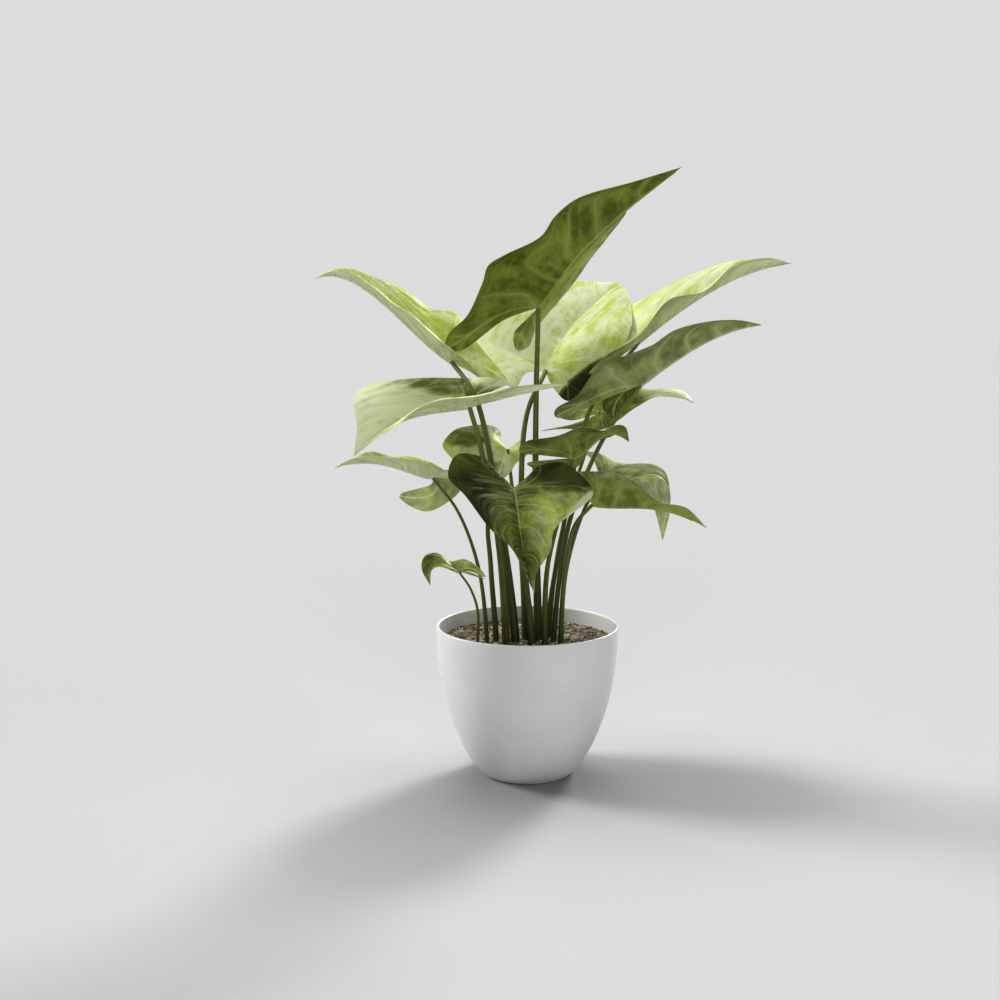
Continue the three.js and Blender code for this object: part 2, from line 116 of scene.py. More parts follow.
GLOW_SHARE = 0.28  # how much of the light goes through the leaf

# Leaf markings: a pair gives the distance where a marking is full and where it is gone. The first
# three are in gaps between lateral veins, MIDRIB_LINE is in mm, and the others count from 0 at the
# midrib to 1 at the margin.
VEIN_LINE = (0.01, 0.05)
VEIN_HALO = (0.02, 0.24)
WEAK_LINE = (0.01, 0.035)
MIDRIB_LINE = (0.7, 1.5)
LOOP_LINE = (0.004, 0.02)
LOOP_PLACE = 0.84  # where the loop that joins the lateral veins meets them
LOOP_SWING = 0.16  # and how fast it nears the margin away from them, per gap
VEIN_END = (0.86, 1.0)
PAINTED_HIGHLIGHT_END = (0.5, 0.95)

# Other colours
STALK_GREEN = ((0.14, 0.165, 0.045), (0.26, 0.30, 0.10))
STALK_BLOTCH = (0.11, 0.13, 0.03)
STALK_TOP = (0.24, 0.28, 0.09)
STALK_FOOT = (0.085, 0.10, 0.025)
POT_WHITE = ((0.80, 0.80, 0.80), (0.76, 0.76, 0.765))
SOIL_COLOURS = ((0.13, 0.11, 0.08), (0.34, 0.30, 0.24), (0.62, 0.58, 0.50))
BARK_COLOURS = ((0.22, 0.17, 0.12), (0.38, 0.32, 0.25), (0.5, 0.46, 0.38))
PERLITE_COLOURS = ((0.60, 0.59, 0.55), (0.72, 0.71, 0.67), (0.82, 0.81, 0.78))
FLOOR_GRAY = (0.5, 0.5, 0.5)

# Leaves: curve points as in the part's source. looks, for the left and the right half: how dark
# and how creamy the upper side is, and how pale the underside is, each from 0 to 1, or down to -1
# for a lime underside. Besides each half's own colour, looks also paint light and shade: a shaded
# half is set darker, a brightly lit one creamier, and an underside's paleness is partly a painted sheen.
# patches: half, look, centre and half-lengths in the front view, turn in degrees, strength, softness.
# A patch that adds dark paints the shade that leaves above cast on a blade.
# sweep: how far the lateral veins bend to the tip. ripple: height of the small folds across each half.
LEAVES = {
    "top": {
        "midrib": [[10, 0, 461], [35, -18, 496], [67, -40, 531], [137, -60, 587]],
        "left": [
            [[-1, 6, 450], [-13, 12, 437], [-11, 13, 421], [0, 18, 423], [7, 30, 438]],
            [[18, 48, 449], [41, 34, 478], [61, 14, 511], [75, -2, 529], [92, -16, 548],
             [92, -28, 558], [112, -46, 571]],
        ],
        "right": [
            [[-24, 4, 449], [-62, 8, 421], [-79, 9, 423], [-76, 8, 437], [-58, 4, 454]],
            [[-44, -12, 483], [-38, -22, 501], [-22, -30, 511], [10, -42, 525], [25, -46, 545],
             [48, -50, 562], [96, -60, 575]],
        ],
        "wave": [2, 2.2, 3.6],
        "looks": [[0.55, 0.3, -0.6], [0.9, 0.3, 0.05]],
        "foot": [11, -3], "way": [[8, -2, 255], [8, 0, 372]], "stalk": [4.4, 2.3],
    },
    "upper_left": {
        "midrib": [[-74, 20, 408], [-115, 16, 442], [-161, 13, 481], [-207, 20, 489]],
        "left": [
            [[-61, 34, 402], [-32, 43, 379], [-58, 21, 406]],
            [[-82, -25, 431], [-105, -33, 449], [-125, -21, 462], [-146, -7, 481], [-181, 9, 497]],
        ],
        "right": [
            [[-45, 38, 393], [-20, 46, 388], [-43, 55, 418]],
            [[-69, 60, 454], [-97, 50, 459], [-118, 37, 478], [-141, 29, 488], [-181, 20, 499]],
        ],
        "looks": [[0.1, 0.7, 1.0], [0.0, 0.3, 0.9]],
        "sweep": 0.35,
        "foot": [-12, -6], "way": [[-23, -5, 231], [-50, -13, 375]], "stalk": [4.7, 2.2],
    },
    "back": {
        "midrib": [[19, 56, 398], [40, 80, 434], [65, 110, 459], [99, 150, 487]],
        "left": [
            [[-1, 54, 396], [-13, 52, 381], [-37, 72, 398]],
            [[-59, 104, 430], [-50, 124, 457], [-30, 139, 476], [-1, 157, 486], [42, 162, 489]],
        ],
        "right": [
            [[25, 47, 384], [41, 40, 369], [65, 50, 381]],
            [[94, 58, 418], [106, 70, 440], [108, 88, 457], [108, 117, 471], [105, 140, 481]],
        ],
        "looks": [[0.0, 0.8, 0.5], [0.0, 0.4, 0.5]],
        "sweep": 0.35,
        "patches": [
            # painted shadow: the right lobe made near-black where the leaves above shade it
            ["right", "dark", [71, 379], [52, 25], 36, 1.6, 0.12],
            ["left", "cream", [5, 482], [60, 12], 8, -0.8, 0.6],
        ],
        "foot": [4, -16], "way": [[-5, -12, 232], [-2, 8, 352]], "stalk": [4.0, 2.2],
    },
    "left": {
        "midrib": [[-56, -22, 367], [-101, -34, 361], [-130, -45, 350], [-164, -60, 324]],
        "left": [
            [[-16, -40, 378], [33, -42, 390], [-6, -48, 388]],
            [[-45, -75, 383], [-79, -76, 377], [-107, -65, 365], [-128, -58, 351], [-150, -59, 335]],
        ],
        "right": [
            [[-37, 14, 379], [-19, 20, 388], [-39, 15, 394]],
            [[-69, 23, 393], [-116, 5, 391], [-154, -14, 388], [-165, -34, 376], [-161, -51, 350]],
        ],
        "looks": [[0.1, 0.6, 1.0], [0.0, 1.15, 0.9]],
        "sweep": 0.6,
        "patches": [
            # painted shadow: a dark band on the right half where the leaf above shades it
            ["right", "dark", [-74, 385], [58, 10], -12, 0.7, 0.5],
        ],
        "foot": [-21, -14], "way": [[-28, -18, 233], [-46, -24, 331]], "stalk": [4.4, 2.2],
    },
    "upper_right": {
        "midrib": [[112, 58, 426], [155, 60, 459], [207, 64, 489], [266, 70, 505]],
        "left": [
            [[96, 78, 422], [79, 95, 418], [85, 103, 438]],
            [[106, 108, 463], [137, 90, 478], [166, 84, 493], [193, 81, 505], [227, 73, 509]],
        ],
        "right": [
            [[85, 32, 408], [60, 12, 397], [80, 12, 418]],
            [[110, 6, 438], [138, 14, 467], [172, 31, 478], [202, 44, 501], [241, 61, 510]],
        ],
        "looks": [[0.1, 0.7, 0.6], [0.2, 0.5, 0.85]],
        "foot": [19, 4], "way": [[35, 8, 243], [64, 24, 366]], "stalk": [2.7, 1.9],
    },
    "right": {
        "midrib": [[110, 10, 386], [143, 2, 411], [180, -8, 433], [222, -15, 445]],
        "left": [
            [[99, 18, 373], [85, 26, 355], [75, 28, 369]],
            [[100, 40, 400], [136, 40, 419], [162, 30, 432], [185, 15, 439], [206, 2, 443]],
        ],
        "right": [
            [[74, 10, 372], [42, 8, 357], [28, 7, 355], [28, 2, 364], [47, -4, 378]],
            [[68, -20, 408], [94, -25, 415], [115, -25, 425], [137, -28, 441], [168, -27, 447],
             [199, -20, 449]],
        ],
        "looks": [[0.85, 0.2, 0.45], [0.7, 0.3, 0.35]],
        "foot": [26, -6], "way": [[41, -4, 253], [73, 2, 333]], "stalk": [2.7, 2.0],
    },
    "inner_left": {
        "midrib": [[-19, 30, 321], [-25, 22, 307], [-31, 14, 294], [-39, 4, 280]],
        "left": [
            [[-15, 34, 324], [-6, 28, 331], [1, 24, 318]],
            [[-11, 26, 308], [-16, 22, 300], [-23, 18, 294], [-29, 14, 288], [-34, 9, 284]],
        ],
        "right": [
            [[-26, 50, 326], [-28, 69, 337], [-46, 56, 344]],
            [[-69, 37, 342], [-84, 23, 326], [-74, 15, 314], [-63, 0, 303], [-51, -12, 292]],
        ],
        "looks": [[0.2, 0.8, 0.7], [0.35, 0.8, 0.7]],
        "patches": [
            ["right", "dark", [-57, 339], [36, 12], 8, 0.8, 0.4],
            ["left", "dark", [-33, 341], [12, 10], 0, 0.8, 0.4],
        ],
        "foot": [-2, 2], "way": [[-6, 6, 214], [-15, 18, 285]], "stalk": [3.6, 1.6],
    },
    "lower_left": {
        "midrib": [[-92, -20, 299], [-117, -15, 305], [-148, -10, 312], [-188, -5, 307]],
        "left": [
            [[-81, -26, 299], [-67, -24, 299], [-73, -32, 307]],
            [[-83, -34, 309], [-103, -43, 317], [-122, -30, 318], [-145, -20, 320], [-168, -11, 317]],
        ],
        "right": [
            [[-95, -14, 291], [-125, -10, 280], [-97, -6, 264]],
            [[-65, -2, 286], [-90, 2, 308], [-117, 5, 318], [-133, 2, 317], [-156, -3, 322]],
        ],
        "wave": [1, 2.5, 0],
        "looks": [[0.1, 0.6, 0.9], [0.3, 0.45, 0.8]],
        "foot": [-40, -6], "way": [[-48, -8, 208], [-68, -22, 267]], "stalk": [2.4, 1.3],
    },
    "front": {
        "midrib": [[-14, -60, 294], [-10, -80, 269], [-5, -92, 236], [5, -90, 200]],
        "left": [
            [[-1, -39, 302], [11, -25, 310], [35, -42, 314]],
            [[61, -51, 291], [43, -74, 274], [23, -96, 260], [18, -101, 241], [7, -102, 222]],
        ],
        "right": [
            [[-27, -54, 306], [-44, -46, 321], [-68, -50, 324]],
            [[-74, -80, 307], [-59, -102, 291], [-40, -108, 270], [-26, -110, 255], [-12, -102, 236]],
        ],
        "looks": [[0.62, 0.25, 0.6], [1.15, 0.1, 0.5]],
        "sweep": -0.14,
        "ripple": [0.2, 0.8],
        "patches": [
            # painted shadow: a dark band along the left half's top, under the leaf above
            ["left", "dark", [34, 307], [44, 14], -8, 0.85, 0.35],
            ["left", "dark", [26, 268], [30, 20], 45, -0.25, 0.5],
            ["left", "cream", [45, 275], [25, 4], 41, 1.2, 0.4],
            ["left", "dark", [45, 275], [25, 4], 41, -0.8, 0.4],
            ["right", "dark", [-50, 285], [28, 20], -55, 0.6, 0.5],
            ["right", "dark", [-24, 262], [8, 34], 14, -0.35, 0.6],
        ],
        "foot": [-31, -4], "way": [[-36, -8, 210], [-37, -30, 264]], "stalk": [3.2, 1.8],
    },
    "small": {
        "midrib": [[-67, -25, 208], [-79, -25, 214], [-92, -28, 216], [-94, -35, 196]],
        "left": [
            [[-59, -30, 207], [-42, -32, 202], [-56, -38, 209]],
            [[-67, -30, 208], [-78, -39, 214], [-86, -38, 215], [-93, -33, 210], [-95, -32, 202]],
        ],
        "right": [
            [[-55, -25, 208], [-41, -24, 202], [-49, -20, 212]],
            [[-62, -12, 218], [-76, -14, 216], [-88, -19, 225], [-100, -27, 223], [-102, -33, 211]],
        ],
        "wave": [0.5, 2, 0],
        "looks": [[0.5, 0.3, 0.4], [0.45, 0.3, 0.4]],
        "patches": [
            ["right", "dark", [-99, 218], [8, 16], 10, 0.5, 0.5],
        ],
        "foot": [-49, -8], "way": [[-49, -12, 167], [-56, -18, 190]], "stalk": [1.7, 1.0],
    },
    "lower_right": {
        "midrib": [[62, -22, 273], [96, -30, 272], [129, -38, 270], [169, -45, 254]],
        "left": [
            [[64, -14, 284], [66, -10, 293], [74, -8, 295]],
            [[86, -4, 293], [98, -6, 288], [115, -11, 282], [130, -26, 273], [148, -38, 269]],
        ],
        "right": [
            [[53, -30, 287], [44, -34, 303], [54, -34, 307]],
            [[65, -50, 309], [84, -51, 305], [104, -54, 298], [126, -51, 279], [151, -46, 272]],
        ],
        "looks": [[0.4, 0.4, -0.35], [0.4, 0.4, -0.5]],
        "foot": [33, -10], "way": [[37, -11, 209], [46, -18, 253]], "stalk": [2.9, 1.7],
    },
    "inner_right": {
        "midrib": [[43, -24, 318], [59, -34, 331], [74, -44, 343], [94, -52, 337]],
        "left": [
            [[24, -18, 316], [-1, -14, 312], [19, -12, 303]],
            [[45, -14, 309], [59, -20, 326], [70, -28, 336], [80, -36, 343], [89, -44, 346]],
        ],
        "right": [
            [[16, -26, 321], [-8, -24, 324], [0, -30, 336]],
            [[29, -46, 343], [49, -54, 349], [68, -58, 349], [79, -58, 352], [90, -56, 350]],
        ],
        "looks": [[0.5, 0.4, 0.2], [0.5, 0.4, 0.15]],
        "foot": [17, -17], "way": [[19, -16, 208], [33, -20, 272]], "stalk": [3.2, 1.7],
    },
    "back_right": {
        "midrib": [[74, 52, 356], [108, 52, 371], [139, 56, 375], [170, 60, 365]],
        "left": [
            [[47, 72, 347], [34, 74, 353], [61, 83, 369]],
            [[87, 90, 377], [111, 87, 378], [127, 83, 376], [144, 80, 379], [161, 75, 375]],
        ],
        "right": [
            [[49, 50, 345], [14, 48, 338], [43, 44, 341]],
            [[76, 32, 342], [92, 37, 349], [110, 46, 363], [132, 55, 372], [160, 66, 371]],
        ],
        "looks": [[0.5, 0.3, 0.8], [0.65, 0.2, 0.8]],
        "patches": [
            ["left", "cream", [152, 373], [30, 16], 0, 1.2, 0.4],
            ["left", "dark", [152, 373], [30, 16], 0, -0.4, 0.4],
            ["right", "cream", [152, 373], [30, 16], 0, 1.2, 0.4],
            ["right", "dark", [152, 373], [30, 16], 0, -0.5, 0.4],
        ],
        "foot": [22, 14], "way": [[33, 20, 231], [58, 40, 315]], "stalk": [2.6, 1.6],
    },
    "hooked_right": {
        "midrib": [[73, 30, 292], [104, 25, 293], [134, 20, 290], [134, 10, 233]],
        "left": [
            [[68, 41, 307], [59, 52, 316], [74, 54, 314]],
            [[95, 60, 306], [117, 51, 304], [137, 40, 299], [144, 30, 282], [140, 17, 259]],
        ],
        "right": [
            [[65, 24, 289], [62, 20, 280], [74, 14, 276]],
            [[86, -3, 278], [104, -2, 281], [118, 4, 280], [124, 5, 266], [129, 9, 251]],
        ],
        "looks": [[0.55, 1.0, 0.9], [0.45, 1.0, 0.9]],
        "foot": [34, 6], "way": [[39, 12, 202], [55, 24, 256]], "stalk": [2.5, 1.6],
    },
}


# Curves

def through(points, x):
    """Points of a smooth curve through points, at the places x, counted from the first point."""
    points = np.asarray(points, float)
    last = len(points) - 1
    start = np.minimum(np.floor(x).astype(int), last - 1)
    f = (x - start)[:, None]
    a, b, c, d = (points[np.clip(start + k, 0, last)] for k in (-1, 0, 1, 2))
    return 0.5 * (2 * b + (c - a) * f + (2 * a - 5 * b + 4 * c - d) * f**2
                  + (3 * b - a - 3 * c + d) * f**3)


def cubic(points, t):
    """Points of the cubic that passes through four points at 0, 1/3, 2/3 and 1."""
    a, b, c, d = np.asarray(points, float)
    t = t[:, None]
    first = (-5 * a + 18 * b - 9 * c + 2 * d) / 6
    second = (2 * a - 9 * b + 18 * c - 5 * d) / 6
    return (1 - t)**3 * a + 3 * (1 - t)**2 * t * first + 3 * (1 - t) * t**2 * second + t**3 * d


def centripetal(points, count):
    """count + 1 evenly spaced points on the centripetal curve through points."""
    points = np.asarray(points, float)
    ends = [2 * points[0] - points[1], *points, 2 * points[-1] - points[-2]]
    fine = []
    for a, b, c, d in zip(ends, ends[1:], ends[2:], ends[3:]):
        da, db, dc = (math.sqrt(np.linalg.norm(q - p)) for p, q in ((a, b), (b, c), (c, d)))
        leave = ((b - a) / da - (c - a) / (da + db) + (c - b) / db) * db
        arrive = ((c - b) / db - (d - b) / (db + dc) + (d - c) / dc) * db
        f = np.linspace(0, 1, 40, endpoint=False)[:, None]
        fine.append(b + leave * f + (3 * (c - b) - 2 * leave - arrive) * f**2
                    + (2 * (b - c) + leave + arrive) * f**3)
    fine = np.vstack([*fine, points[-1:]])
    length = np.concatenate([[0], np.cumsum(np.linalg.norm(np.diff(fine, axis=0), axis=1))])
    even = np.linspace(0, length[-1], count + 1)
    return np.stack([np.interp(even, length, fine[:, k]) for k in range(3)], axis=1)


def unit(vectors):
    return vectors / np.maximum(np.linalg.norm(vectors, axis=-1, keepdims=True), 1e-9)


def smoothstep(x):
    x = np.clip(x, 0, 1)
    return x * x * (3 - 2 * x)


# Meshes

def piece(name, points, faces, material, node, fields=None, sharp=50):
    """A smooth mesh in metres from points in mm, which replaces a node and rides on the plant's body."""
    mesh = bpy.data.meshes.new(name)
    mesh.from_pydata((np.asarray(points) * MM).tolist(), [], faces)
    for field, values in (fields or {}).items():
        data = mesh.attributes.new(field, "FLOAT", "POINT").data
        data.foreach_set("value", np.ravel(values).astype(np.float32))
    mesh.polygons.foreach_set("use_smooth", [True] * len(mesh.polygons))
    mesh.set_sharp_from_angle(angle=math.radians(sharp))
    mesh.materials.append(material)
    thing = bpy.data.objects.new(name, mesh)
    bpy.context.scene.collection.objects.link(thing)
    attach(thing, "root")
    if node:
        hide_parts(node)
    return thing


def grid_faces(rows, columns, start=0, closed=False, flip=False):
    """Faces of a grid of points. closed joins the last column to the first."""
    i, j = np.meshgrid(np.arange(rows - 1), np.arange(columns - (0 if closed else 1)), indexing="ij")
    k = (j + 1) % columns
    quads = np.stack([i * columns + j, (i + 1) * columns + j, (i + 1) * columns + k, i * columns + k], -1)
    quads = quads.reshape(-1, 4) + start
    return quads[:, ::-1] if flip else quads


def welded(points, faces, fields):
    """The same mesh with like points joined, and faces that shrink to a line left out."""
    _, first, where = np.unique(np.round(points, 3), axis=0, return_index=True, return_inverse=True)
    where = where.ravel()
    kept = []
    for face in where[faces]:
        ring = [v for n, v in enumerate(face) if v != face[n - 1]]
        if len(ring) > 2:
            kept.append([int(v) for v in ring])
    return points[first], kept, {k: v[first] for k, v in fields.items()}


# Blades

def half_blade(leaf, half, hand, phase):
    """One half of a blade as a fine grid: points, and the fields that its material reads."""
    stalk, tip = leaf["midrib"][0], leaf["midrib"][3]
    outline = [stalk, *half[0], *half[1], tip]
    end = (len(half[0]) + 1) // 2  # the lobe's end in the outline
    length = np.linalg.norm(np.diff(cubic(leaf["midrib"], np.linspace(0, 1, 20)), axis=0), axis=1).sum()
    steps = max(4, round(length / BLADE_ROWS / CELL))
    last = LOBE_ROWS + BLADE_ROWS
    s = np.linspace(0, last, last * steps + 1)

    def rails(s):
        s = np.clip(s, 0, last)
        back = end * s / LOBE_ROWS
        t = np.clip((s - LOBE_ROWS) / BLADE_ROWS, 0, 1)
        in_lobe = (s <= LOBE_ROWS)[:, None]
        inner = np.where(in_lobe, through(outline, np.clip(end - back, 0, end)), cubic(leaf["midrib"], t))
        mark = np.where(s <= LOBE_ROWS, end + back, 2 * end + t * (len(outline) - 1 - 2 * end))
        return inner, through(outline, mark)

    inner, outer = rails(s)
    across = outer - inner
    # The lengthwise direction is taken over two rows, so that no crease shows beside the stalk
    ahead, behind = (sum(rails(s + step)) / 2 for step in (1, -1))
    up = unit(hand * np.cross(across, ahead - behind))
    width = np.linalg.norm(across, axis=1)
    height, number = leaf["wave"][:2]
    u = s / last
    calm = np.minimum(np.minimum(1, 5 * u), 3 * (1 - u))
    wave = height * calm * np.sin(2 * np.pi * number * u + phase)
    v = np.linspace(0, 1, BLADE_COLUMNS + 1)**0.85  # from the midrib at 0 to the margin at 1
    lift = 4 * PUFF * width[:, None] * v * (1 - v) + wave[:, None] * v**2

    # Where the veins run: t is 0 at the stalk and 1 at the tip, and q is 1 at the lobe's end
    t = (s[:, None] - LOBE_ROWS) / BLADE_ROWS
    q = np.clip(-t * BLADE_ROWS / LOBE_ROWS, 0, 1)
    bend = (VEIN_BEND + leaf.get("sweep", 0)) * v + VEIN_HOOK * v**3
    ahead_vein = VEINS * (t - bend * smoothstep(t / 0.45) * smoothstep((1 - t) / 0.5))
    lobe_rib = LOBE_RIB * (1 - (1 - q)**2.5)
    outside = (v - lobe_rib) / (1 - lobe_rib)
    inside = (lobe_rib - v) / np.maximum(lobe_rib, 1e-3)
    from_rib = np.where(v > lobe_rib, outside, inside)
    back_vein = -LOBE_VEINS * (q - 0.25 * from_rib * smoothstep(q / 0.5))
    in_lobe = t < 0
    vein = np.where(in_lobe, back_vein, ahead_vein)
    from_middle = np.where(in_lobe, np.abs(v - lobe_rib), v) * width[:, None]

    # The blade swells between its lateral veins, but not at its middle, margin and tip
    between = 1 - np.abs(np.cos(np.pi * vein))**6
    calm_edge = smoothstep(v / 0.15) * smoothstep((1 - v) / 0.2) * smoothstep(width[:, None] / 14)
    calm_edge = calm_edge * smoothstep((1 - t) / 0.2)
    ripple = leaf.get("ripple", [0, 0])[hand > 0] * np.sin(2 * np.pi * RIPPLES * vein)
    lift = lift + (QUILT * between + ripple) * calm_edge
    points = inner[:, None] + across[:, None] * v[:, None] + up[:, None] * lift[..., None]
    ones = np.ones_like(points[..., 0])
    return {
        "points": points,
        "steps": steps,
        "vein": vein,
        "across": ones * v,
        "reach": np.where(in_lobe, -q * LOBE_ROWS / BLADE_ROWS, t) * ones,
        "rib": from_middle * ones,
        "width": width[:, None] * ones,
    }


def grid_normals(points, hand):
    lengthwise = np.gradient(points, axis=0)
    sideways = np.gradient(points, axis=1) * hand
    normals = np.cross(sideways, lengthwise)
    for i, k in ((0, 1), (-1, -2)):  # the first and last rows are single points
        normals[i] = normals[k]
    return unit(normals)


def half_looks(leaf, side, points):
    """How dark, creamy and pale one half of a leaf is at each point."""
    plain = leaf["looks"][side == "right"]
    looks = {k: np.full(points.shape[:2], float(value)) for k, value in zip(LOOKS, plain)}
    for half, look, centre, size, turn, strength, softness in leaf.get("patches", []):
        if half == side:
            x, z = points[..., 0] - centre[0], points[..., 2] - centre[1]
            c, s = math.cos(math.radians(turn)), math.sin(math.radians(turn))
            far = np.hypot((c * x + s * z) / size[0], (c * z - s * x) / size[1])
            looks[look] = looks[look] + strength * smoothstep((1 + softness - far) / (2 * softness))
    return looks


def blade(name, leaf, material):
    """A leaf blade as a thin closed mesh with the midrib's ridge below and its groove on top."""
    halves = []
    for side, hand in (("left", -1), ("right", 1)):
        half = half_blade(leaf, leaf[side], hand, leaf["wave"][2] + (RIGHT_WAVE_LAG if hand > 0 else 0))
        half["normals"] = grid_normals(half["points"], hand)
        halves.append(half)
    shared = unit(halves[0]["normals"][:, 0] + halves[1]["normals"][:, 0])
    all_points, all_faces = [], []
    fields = {k: [] for k in ("vein", "across", "reach", "rib", "under", *LOOKS)}
    start = 0
    for half, hand, side in zip(halves, (-1, 1), ("left", "right")):
        points, normals = half["points"], half["normals"]
        looks = half_looks(leaf, side, points)
        rows, columns = points.shape[:2]
        stalk_row = LOBE_ROWS * half["steps"]
        normals[stalk_row:, 0] = shared[stalk_row:]
        normals[-1] = shared[-1]
        normals[0] = normals[1, columns // 2]
        t = np.clip(half["reach"], 0, 1)
        distance = half["across"] * half["width"]
        on_blade = smoothstep((np.arange(rows) - stalk_row) / 3 + 1)[:, None]
        ridge = on_blade * (1 - 0.75 * t) * np.exp(-(distance / RIB_WIDTH / (1.3 - 0.8 * t))**2)
        taper = smoothstep((1 - half["across"]) / 0.1) * smoothstep(half["width"] / 6)
        thick = MARGIN_THICKNESS + (THICKNESS - MARGIN_THICKNESS) * taper
        upper = points + normals * (thick / 2 - RIB_GROOVE * ridge)[..., None]
        lower = points - normals * (thick / 2 + RIB_DEPTH * ridge)[..., None]
        size = rows * columns
        for under, sheet in ((0, upper), (1, lower)):
            flip = (hand < 0) == (under == 0)
            all_points.append(sheet.reshape(-1, 3))
            all_faces.append(grid_faces(rows, columns, start + under * size, flip=flip))
            for k in ("vein", "across", "reach", "rib"):
                fields[k].append(half[k].ravel())
            fields["under"].append(np.full(size, float(under)))
            for k, value in looks.items():
                fields[k].append(value.ravel())
        # The margin joins the two sheets all round, and the inner edge only in the lobe
        index = np.arange(rows)
        for column, whole in ((columns - 1, True), (0, False)):
            edge = index if whole else index[:stalk_row + 1]
            line = start + edge * columns + column
            quads = np.stack([line[:-1], line[1:], line[1:] + size, line[:-1] + size], 1)
            all_faces.append(quads if (hand > 0) == whole else quads[:, ::-1])
        start += 2 * size
    points, faces, fields = welded(np.vstack(all_points), np.vstack(all_faces),
                                   {k: np.concatenate(v) for k, v in fields.items()})
    fields["seed"] = np.full(len(points), float(leaf["seed"]))
    return piece(f"leaf_{name}", points, faces, material, f"blade_{name}", fields)


# Stalks

def tube(path, radii, sides):
    """Points and faces of a closed round tube along a path, and the angle round it at each point."""
    tangents = unit(np.gradient(path, axis=0))
    normals = np.zeros_like(path)
    normals[0] = np.cross(tangents[0], (0, 1, 0))
    for i in range(1, len(path)):
        side = normals[i - 1] - tangents[i] * np.dot(normals[i - 1], tangents[i])
        normals[i] = side / np.linalg.norm(side)
    normals[0] /= np.linalg.norm(normals[0])
    binormals = np.cross(tangents, normals)
    angle = np.linspace(0, 2 * np.pi, sides, endpoint=False)
    ring = normals[:, None] * np.cos(angle)[:, None] + binormals[:, None] * np.sin(angle)[:, None]
    points = (path[:, None] + ring * radii[..., None]).reshape(-1, 3)
    faces = grid_faces(len(path), sides, closed=True)[:, ::-1].tolist()
    faces.append(list(range(sides))[::-1])
    faces.append(list(range((len(path) - 1) * sides, len(path) * sides)))
    return points, faces, np.repeat(angle[None], len(path), 0).ravel()


def stalk(name, leaf, material):
    """A leaf stalk, from its hole in the soil into the midrib's ridge."""
    x, y = leaf["foot"]
    path = centripetal([
        [x, y, SOIL_LEVEL - FOOT_DEPTH], [x, y, SOIL_LEVEL + FOOT_RISE], *leaf["way"], leaf["midrib"][0],
    ], STALK_STEPS)
    t = np.linspace(0, 1, len(path))
    foot, top = leaf["stalk"]
    radius = top + (foot - top) * (1 - t)**1.5
    angle = np.linspace(0, 2 * np.pi, STALK_SIDES, endpoint=False)
    # Fine ridges run along the stalk
    radii = radius[:, None] * (1 + 0.012 * np.sin(5 * angle + 1) + 0.008 * np.sin(7 * angle))
    points, faces, around = tube(path, radii, STALK_SIDES)
    fields = {
        "around": around,
        "height": np.repeat(t, STALK_SIDES),
        "seed": np.full(len(points), float(leaf["seed"])),
    }
    return piece(f"petiole_{name}", points, faces, material, f"stalk_{name}", fields)


# Pot

def pot_radius(z):
    rise = 1 - (1 - z / POT_HEIGHT)**POT_SWELL
    return POT_BASE_RADIUS + (POT_RIM_RADIUS - POT_BASE_RADIUS) * rise**POT_TUCK


def lathe(outline, sides):
    """A closed turned mesh. outline runs from the axis round the section and back to the axis."""
    outline = np.asarray(outline, float)
    angle = np.linspace(0, 2 * np.pi, sides, endpoint=False)
    r, z = outline[1:-1, 0], outline[1:-1, 1]
    points = np.stack([r[:, None] * np.cos(angle), r[:, None] * np.sin(angle),
                       z[:, None] * np.ones(sides)], -1).reshape(-1, 3)
    faces = grid_faces(len(r), sides, closed=True)[:, ::-1].tolist()
    base, end = len(points), len(points) + 1
    points = np.vstack([points, [[0, 0, outline[0, 1]], [0, 0, outline[-1, 1]]]])
    top = (len(r) - 1) * sides
    for i in range(sides):
        k = (i + 1) % sides
        faces.append([base, k, i])
        faces.append([end, top + i, top + k])
    return points, faces


def pot(material):
    lip = POT_WALL / 2
    edge = POT_HEIGHT - lip
    outer = [[pot_radius(z), z] for z in edge * np.linspace(0, 1, 60)**1.7]
    outer[0] = [POT_BASE_RADIUS - POT_FOOT_BEND, 0]
    outer[1][1] = max(outer[1][1], 0.3)
    inner = [[pot_radius(z) - POT_WALL, z] for z in np.linspace(edge, POT_FLOOR, 40)]
    centre = pot_radius(edge) - lip
    turns = np.linspace(0, math.pi, 13)[1:-1]
    rounded = [[centre + lip * math.cos(a), edge + lip * math.sin(a)] for a in turns]
    outline = [[0, 0], *outer, *rounded, *inner, [0, POT_FLOOR]]
    points, faces = lathe(outline, POT_SIDES)
    return piece("planter", points, faces, material, "pot")


# Soil

def soil_height(x, y):
    crumbs = (np.sin(0.31 * x + 0.17 * y + 1) * np.sin(0.23 * y - 0.12 * x)
              + 0.6 * np.sin(0.52 * x - 0.41 * y + 2) + 0.4 * np.sin(0.71 * y + 0.66 * x))
    return SOIL_LEVEL + SOIL_RELIEF * crumbs / 2


